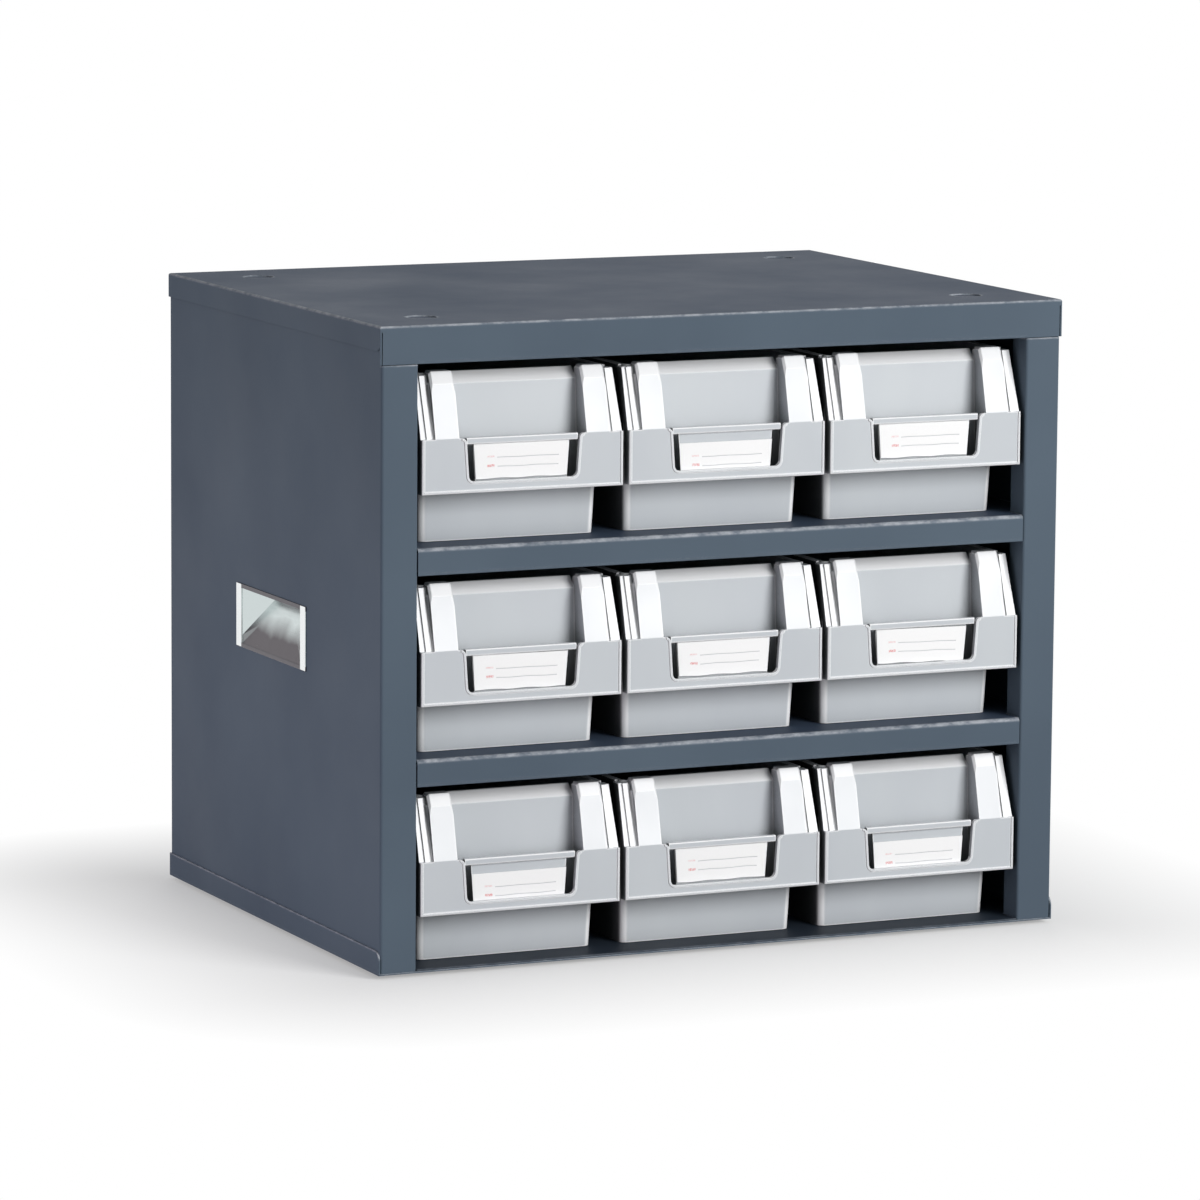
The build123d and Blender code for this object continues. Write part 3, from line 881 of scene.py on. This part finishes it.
@dataclass(frozen=True)
class CardStock:
    """White card with two short red marks and two faint rules to write on.

    Attributes:
        name: Name of the material.
        paper: The card.
        fibre_shade: What is left of its light between the fibres, as a share.
        red: Ink of the marks.
        grey: Ink of the rules.
        mark_ends: Left and right end of a mark.
        rule_ends: Left and right end of a rule.
        strokes: Strokes that a mark breaks up into.
        stroke_edge: Levels between which a stroke starts.
        fibre: The paper's fibres.
        fibre_depth: How far they stand up.
        dullness: Roughness between the fibres and on them.
    """

    name: str = "label_card_stock"
    paper: Colour = screen_colour(254, 254, 254)
    fibre_shade: float = 0.97
    red: Colour = screen_colour(222, 92, 92)
    grey: Colour = screen_colour(150, 150, 158)
    mark_ends: Range = (0.13, 0.21)
    rule_ends: Range = (0.24, 0.90)
    strokes: Pattern = Pattern(2600.0, 1.0)
    stroke_edge: Range = (0.42, 0.5)
    fibre: Pattern = Pattern(700.0, 5.0, 0.7)
    fibre_depth: float = 0.03 * MM
    dullness: Range = (0.55, 0.7)

    def marks(self) -> tuple[PrintMark, ...]:
        """The marks that are printed on every card."""
        return (
            PrintMark(self.mark_ends, 0.36, 0.07, self.red, 0.75, broken=True),
            PrintMark(self.mark_ends, 0.62, 0.05, self.red, 0.35, broken=True),
            PrintMark(self.rule_ends, 0.33, 0.022, self.grey, 0.6),
            PrintMark(self.rule_ends, 0.59, 0.022, self.grey, 0.6),
        )

    def printed(
        self, graph: ShaderGraph, paper: Socket, across: Socket, up: Socket, mark: PrintMark
    ) -> Socket:
        """Print one mark over the card's colour.

        Args:
            graph: The card's node tree.
            paper: Colour under the mark.
            across: Share of the card's width.
            up: Share of the card's height.
            mark: What is printed.

        Returns:
            The colour with the mark on it.
        """
        left, right = mark.ends
        columns = graph.within(across, (left + right) / 2, (right - left) / 2)
        rows = graph.within(up, mark.height, mark.thickness / 2)
        inked = graph.times(columns, rows)
        if mark.broken:
            inked = graph.times(inked, graph.spread(graph.noise(self.strokes), self.stroke_edge))
        return graph.mix(graph.times(inked, mark.strength), paper, mark.ink)

    def material(self) -> bpy.types.Material:
        """Build the card: paper fibre, and the printed marks by the card's own map.

        Returns:
            The material.
        """
        graph = ShaderGraph(self.name)
        graph.set(specular_ior_level=0.35)
        place = graph.parts(graph.coordinates.outputs["UV"])
        fibre = graph.noise(self.fibre)
        shade = tuple(self.fibre_shade * part for part in self.paper)
        colour = graph.mix(graph.spread(fibre, MOST), self.paper, shade)
        for mark in self.marks():
            colour = self.printed(graph, colour, place[Axis.X], place[Axis.Y], mark)
        roughness = graph.spread(fibre, MOST, self.dullness)
        return graph.finish(colour, roughness, graph.bump(fibre, self.fibre_depth))


def dress(node: bpy.types.Object, material: bpy.types.Material) -> None:
    """Give a piece one finish in place of those it came with."""
    node.data.materials.clear()
    node.data.materials.append(material)


@dataclass
class CabinetShell:
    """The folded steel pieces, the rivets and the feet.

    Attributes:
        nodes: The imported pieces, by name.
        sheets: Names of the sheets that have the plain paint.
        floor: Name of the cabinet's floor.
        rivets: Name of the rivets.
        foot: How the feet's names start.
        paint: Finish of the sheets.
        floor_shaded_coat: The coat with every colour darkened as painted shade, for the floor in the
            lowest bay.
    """

    nodes: dict[str, bpy.types.Object]
    sheets: tuple[str, ...] = (
        "top_cover",
        "bottom_pan",
        "lower_shelf",
        "upper_shelf",
        "left_side_panel",
        "right_side_panel",
        "back_panel",
    )
    floor: str = "floor_shelf"
    rivets: str = "back_rivets"
    foot: str = "foot_"
    paint: PowderCoat = PowderCoat()
    # The floor's coat is the plain coat darkened throughout as painted shade.
    floor_shaded_coat: PowderCoat = PowderCoat(
        name="slate_powder_coat_painted_shade",
        colour=screen_colour(60, 68, 78),
        patch=screen_colour(55, 63, 73),
        dust_and_shade=screen_colour(40, 48, 58),
        worn_and_highlit=screen_colour(100, 107, 115),
    )

    def dress(self) -> None:
        """Paint the sheets and finish the rivets and feet."""
        feet = [name for name in self.nodes if name.startswith(self.foot)]
        finishes = (
            (self.paint, self.sheets),
            (self.floor_shaded_coat, (self.floor,)),
            (RivetAlloy(), (self.rivets,)),
            (FootRubber(), feet),
        )
        for finish, names in finishes:
            material = finish.material()
            for name in names:
                dress(self.nodes[name], material)
                LOG.info("%s finished", name)


@dataclass
class CarryingHandles:
    """The two pressed handles in the cabinet's sides.

    Attributes:
        nodes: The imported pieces, by name.
        names: Names of the handles.
    """

    nodes: dict[str, bpy.types.Object]
    names: tuple[str, ...] = ("left_handle", "right_handle")

    def dress(self) -> None:
        """Plate both handles."""
        low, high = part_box("right_handle")
        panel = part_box("right_side_panel")[1].x
        plate = PlatedSteel(low.z, high.z, panel).material()
        for name in self.names:
            dress(self.nodes[name], plate)
            LOG.info("%s plated", name)


@dataclass
class Bins:
    """The nine moulded bins.

    Attributes:
        nodes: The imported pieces, by name.
    """

    nodes: dict[str, bpy.types.Object]

    def dress(self) -> None:
        """Give every bin its plastic."""
        plastic = MouldedPlastic().material()
        for row, column in CELLS:
            name = f"bin_r{row}c{column}"
            dress(self.nodes[name], plastic)
            LOG.info("%s finished", name)


@dataclass
class LabelCards:
    """A printed card in front of each bin's tongue, in place of the plain solid.

    Attributes:
        nodes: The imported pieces, by name.
        columns_of_faces: Faces across a card.
        rows_of_faces: Faces up a card.
        ripple: How far a card's lower edge lifts on average, in metres.
        ripples: How many waves it has.
        row_shift: Part of a wave that it moves on from one row of bins to the next.
        column_shift: The same from one column of bins to the next.
    """

    nodes: dict[str, bpy.types.Object]
    columns_of_faces: int = 32
    rows_of_faces: int = 6
    ripple: float = 0.25 * MM
    ripples: float = 2.5
    row_shift: float = 0.21
    column_shift: float = 0.37

    def corners(self, source: bpy.types.Object) -> tuple[Vector, Vector, Vector, Vector]:
        """Find the corners of a card's front face.

        Args:
            source: The card's solid.

        Returns:
            Its lower left, lower right, upper left and upper right front corner.
        """
        front = min(vertex.co.y for vertex in source.data.vertices)
        points = [Vector((v.co.x, front, v.co.z)) for v in source.data.vertices]
        lower_left = min(points, key=lambda p: p.x + p.z)
        lower_right = max(points, key=lambda p: p.x - p.z)
        upper_left = min(points, key=lambda p: p.x - p.z)
        upper_right = max(points, key=lambda p: p.x + p.z)
        return lower_left, lower_right, upper_left, upper_right

    def unit_sheet(self) -> bmesh.types.BMesh:
        """Make a flat sheet from 0 to 1 in X and Y, mapped for the print.

        Returns:
            The sheet.
        """
        sheet = bmesh.new()
        bmesh.ops.create_grid(
            sheet, x_segments=self.columns_of_faces, y_segments=self.rows_of_faces, size=0.5
        )
        bmesh.ops.translate(sheet, verts=sheet.verts, vec=(0.5, 0.5, 0.0))
        chart = sheet.loops.layers.uv.new("card_map")
        for face in sheet.faces:
            for loop in face.loops:
                loop[chart].uv = loop.vert.co.xy
        return sheet

    def build_card(self, row: int, column: int) -> bpy.types.Object:
        """Make one card where its solid lies, with a slightly rippled lower edge.

        Args:
            row: Row of the bin, from the top.
            column: Column of the bin, from the left.

        Returns:
            The card.
        """
        source = self.nodes[f"label_r{row}c{column}"]
        low_left, low_right, high_left, high_right = self.corners(source)
        shift = self.column_shift * column + self.row_shift * row
        sheet = self.unit_sheet()
        for vertex in sheet.verts:
            across, up = vertex.co.xy
            wave = math.sin(math.tau * (self.ripples * across + shift))
            lift = self.ripple * (1 - up) * (1 + wave)
            low = low_left.lerp(low_right, across)
            high = high_left.lerp(high_right, across)
            vertex.co = low.lerp(high, up) + Vector((0.0, 0.0, lift))
        name = f"printed_card_r{row}c{column}"
        mesh = bpy.data.meshes.new(name)
        sheet.to_mesh(mesh)
        sheet.free()
        card = bpy.data.objects.new(name, mesh)
        bpy.context.scene.collection.objects.link(card)
        thickness = card.modifiers.new("card_thickness", "SOLIDIFY")
        thickness.thickness = max(v.co.y for v in source.data.vertices) - low_left.y
        return card

    def build(self) -> None:
        """Make, print and place all the cards."""
        stock = CardStock().material()
        for row, column in CELLS:
            card = self.build_card(row, column)
            dress(card, stock)
            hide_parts(f"label_r{row}c{column}")
            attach(card, f"drawer_r{row}c{column}")
            LOG.info("%s printed", card.name)


@dataclass(frozen=True)
class Lamp:
    """A flat studio lamp, itself unseen by the camera.

    Attributes:
        name: What the lamp is called.
        place: Where it stands, in metres.
        width: Level side of its light, in metres.
        height: Upright side of its light.
        power: Power in watts.
        tint: Colour of its light.
        in_gloss: Whether glossy surfaces mirror the lamp.
    """

    name: str
    place: tuple[float, float, float]
    width: float
    height: float
    power: float
    tint: Colour = WHITE
    in_gloss: bool = True

    def build(self, target: Vector) -> None:
        """Stand the lamp and turn it towards the target.

        Args:
            target: Point that the lamp faces.
        """
        light = bpy.data.lights.new(self.name, "AREA")
        light.shape = "RECTANGLE"
        light.size = self.width
        light.size_y = self.height
        light.energy = self.power
        light.color = self.tint
        stand = bpy.data.objects.new(self.name, light)
        stand.location = self.place
        stand.visible_camera = False
        stand.visible_glossy = self.in_gloss
        stand.rotation_euler = (target - Vector(self.place)).to_track_quat("-Z", "Y").to_euler()
        bpy.context.scene.collection.objects.link(stand)


@dataclass
class Studio:
    """Pale floor, even light and the camera at the photograph's angle.

    Attributes:
        lens: Focal length of the camera, in millimetres.
        sensor: Width of its sensor, in millimetres.
        sight: How far the camera sees.
        turn: Angle of the camera round the cabinet, below 0 to the left of its front.
        tilt: How far it looks down.
        roll: How far it is turned about its own line of sight.
        camera_place: Where it stands.
        floor_width: Side of the square floor.
        floor_dullness: Roughness of the floor.
        floor_shade: Colour with which the floor throws light back.
        floor_seen: Colour in which the camera and mirrors see it.
        shadow_start: Share of plain white already at the cabinet's foot.
        shadow_reach: Distance from the cabinet at which the floor is all plain white.
        world_level: Strength of the room's even light.
        lamps: The lamps.
    """

    lens: float = 193.2
    sensor: float = 36.0
    sight: float = 100.0
    turn: float = math.radians(-24.85)
    tilt: float = math.radians(8.47)
    roll: float = math.radians(0.44)
    camera_place: tuple[float, float, float] = (-1.9778, -4.2597, 0.92474)
    floor_width: float = 30.0
    floor_dullness: float = 0.9
    floor_shade: Colour = (0.3, 0.3, 0.3)
    floor_seen: Colour = (0.96, 0.96, 0.96)
    shadow_start: float = 0.35
    shadow_reach: float = 0.22
    world_level: float = 0.27
    lamps: tuple[Lamp, ...] = (
        Lamp("key_light", (1.37, -3.07, 1.42), 1.7, 1.7, 96.0),
        Lamp("left_fill", (-3.2, -0.6, 0.6), 1.6, 1.6, 3.5, ROSY, in_gloss=False),
        Lamp("left_kicker", (-0.85, -0.05, 0.06), 1.2, 0.1, 1.7, ROSY, in_gloss=False),
        Lamp("rear_fill", (1.3, 3.2, 0.45), 1.7, 0.8, 55.0, in_gloss=False),
    )

    def build_camera(self) -> None:
        """Stand the camera where the photograph was taken from."""
        data = bpy.data.cameras.new("camera")
        data.lens = self.lens
        data.sensor_width = self.sensor
        data.clip_end = self.sight
        camera = bpy.data.objects.new("camera", data)
        back = Vector((
            math.sin(self.turn) * math.cos(self.tilt),
            -math.cos(self.turn) * math.cos(self.tilt),
            math.sin(self.tilt),
        ))
        level = Vector((math.cos(self.turn), math.sin(self.turn), 0.0))
        rise = back.cross(level)
        right = math.cos(self.roll) * level + math.sin(self.roll) * rise
        up = math.cos(self.roll) * rise - math.sin(self.roll) * level
        facing = Matrix((right, up, back)).transposed().to_4x4()
        camera.matrix_world = Matrix.Translation(self.camera_place) @ facing
        bpy.context.scene.collection.objects.link(camera)
        bpy.context.scene.camera = camera

    def seen_directly(self, tree: bpy.types.NodeTree) -> Socket:
        """1 for what the camera sees, straight, mirrored or through glass.

        Args:
            tree: Node tree of the floor or the world.

        Returns:
            The switch between lighting and backdrop.
        """
        path = tree.nodes.new("ShaderNodeLightPath")
        seen = path.outputs["Is Camera Ray"]
        for kind in ("Is Glossy Ray", "Is Transmission Ray"):
            either = tree.nodes.new("ShaderNodeMath")
            either.operation = Operation.LARGER.value
            tree.links.new(seen, either.inputs[0])
            tree.links.new(path.outputs[kind], either.inputs[1])
            seen = either.outputs[0]
        return seen

    def distance_away(self, graph: ShaderGraph, half_size: Vector) -> Socket:
        """How far a place on the floor is from the cabinet's foot.

        Args:
            graph: The floor's node tree.
            half_size: Half of the cabinet's width and depth, as X and Y.

        Returns:
            The distance in metres, 0 under the cabinet.
        """
        foot = Vector((half_size.x, half_size.y, 0.0))
        place = graph.vector_maths(Operation.SIZE, graph.coordinates.outputs["Object"])
        beyond = graph.vector_maths(Operation.SUBTRACT, place, foot)
        outside = graph.vector_maths(Operation.LARGER, beyond, Vector())
        distance = graph.add("ShaderNodeVectorMath", operation="LENGTH")
        graph.join(outside, distance.inputs[0])
        return distance.outputs["Value"]

    def floor_material(self, half_size: Vector) -> bpy.types.Material:
        """Pale paper that keeps the shadow near the cabinet and is white farther out.

        Args:
            half_size: Half of the cabinet's width and depth, as X and Y.

        Returns:
            The floor's material.
        """
        graph = ShaderGraph("floor_paper")
        graph.set(roughness=self.floor_dullness, specular_ior_level=0.0)
        seen = self.seen_directly(graph.tree)
        away = self.distance_away(graph, half_size)
        far = graph.spread(away, (0.0, self.shadow_reach), (self.shadow_start, 1.0))
        backdrop = graph.add("ShaderNodeEmission")
        blend = graph.add("ShaderNodeMixShader")
        graph.join(graph.times(far, seen), blend.inputs["Fac"])
        graph.join(graph.shader.outputs["BSDF"], blend.inputs[1])
        graph.join(backdrop.outputs["Emission"], blend.inputs[2])
        graph.join(blend.outputs["Shader"], graph.output.inputs["Surface"])
        return graph.finish(graph.mix(seen, self.floor_shade, self.floor_seen))

    def build_floor(self, half_size: Vector) -> None:
        """Lay a pale floor that keeps the cabinet's shadow.

        Args:
            half_size: Half of the cabinet's width and depth, as X and Y.
        """
        shape = bmesh.new()
        bmesh.ops.create_grid(shape, x_segments=1, y_segments=1, size=self.floor_width / 2)
        mesh = bpy.data.meshes.new("studio_floor")
        shape.to_mesh(mesh)
        shape.free()
        floor = bpy.data.objects.new("studio_floor", mesh)
        bpy.context.scene.collection.objects.link(floor)
        dress(floor, self.floor_material(half_size))
        floor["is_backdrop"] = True

    def build_world(self) -> None:
        """Light the room evenly and show a white backdrop behind the cabinet."""
        world = bpy.data.worlds.new("studio_room")
        world.use_nodes = True
        bpy.context.scene.world = world
        tree = world.node_tree
        tree.nodes.clear()
        blend = tree.nodes.new("ShaderNodeMixShader")
        tree.links.new(self.seen_directly(tree), blend.inputs["Fac"])
        for slot, level in ((1, self.world_level), (2, 1.0)):
            light = tree.nodes.new("ShaderNodeBackground")
            light.inputs["Color"].default_value = opaque(WHITE)
            light.inputs["Strength"].default_value = level
            tree.links.new(light.outputs[0], blend.inputs[slot])
        output = tree.nodes.new("ShaderNodeOutputWorld")
        tree.links.new(blend.outputs[0], output.inputs["Surface"])

    def build(self, low: Vector, high: Vector) -> None:
        """Set the whole studio up round the cabinet.

        Args:
            low: Lowest corner of the cabinet's box.
            high: Highest corner of the cabinet's box.
        """
        bpy.context.scene.view_settings.view_transform = "Standard"
        target = (low + high) / 2
        self.build_camera()
        self.build_floor((high - low) / 2)
        self.build_world()
        for lamp in self.lamps:
            lamp.build(target)
            LOG.info("%s set", lamp.name)


def main() -> None:
    """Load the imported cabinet, dress every piece and set up the studio."""
    logging.basicConfig(level=logging.INFO, format="%(name)s: %(message)s")
    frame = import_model()
    packed_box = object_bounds()
    nodes = frame["nodes"]
    CabinetShell(nodes).dress()
    CarryingHandles(nodes).dress()
    Bins(nodes).dress()
    LabelCards(nodes).build()
    low, high = packed_box
    Studio().build(low, high)


if __name__ == "__main__":
    main()
